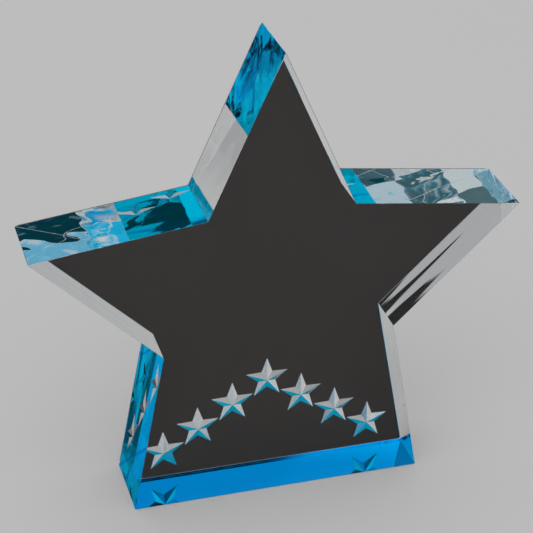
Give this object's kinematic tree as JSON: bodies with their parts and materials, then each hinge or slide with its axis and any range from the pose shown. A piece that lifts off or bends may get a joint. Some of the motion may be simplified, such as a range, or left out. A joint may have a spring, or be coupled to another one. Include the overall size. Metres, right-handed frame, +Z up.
{
  "type": "star-shaped crystal award",
  "caption": "Thick clear five-pointed star slab on a flat foot, with a mirrored blue underside, a smoke-grey back and a row of small faceted silver stars.",
  "frame": {"origin": "on the table, in the middle of the award's box", "axes": "+X to the viewer's right along the width, +Y from the bare front face to the back, +Z up"},
  "size_m": [0.1548, 0.0254, 0.1524],
  "materials": {
    "crystal": "polished clear crystal",
    "smoke_panel": "smoke-grey satin",
    "blue_mirror": "blue mirror",
    "silver": "bright silver, finely brushed"
  },
  "bodies": {
    "root": {"crystal_star_block": "crystal", "smoke_back_panel": "smoke_panel", "blue_base_mirror": "blue_mirror", "silver_star_1": "silver", "silver_star_2": "silver", "silver_star_3": "silver", "silver_star_4": "silver", "silver_star_5": "silver", "silver_star_6": "silver", "silver_star_7": "silver"}
  },
  "joints": []
}
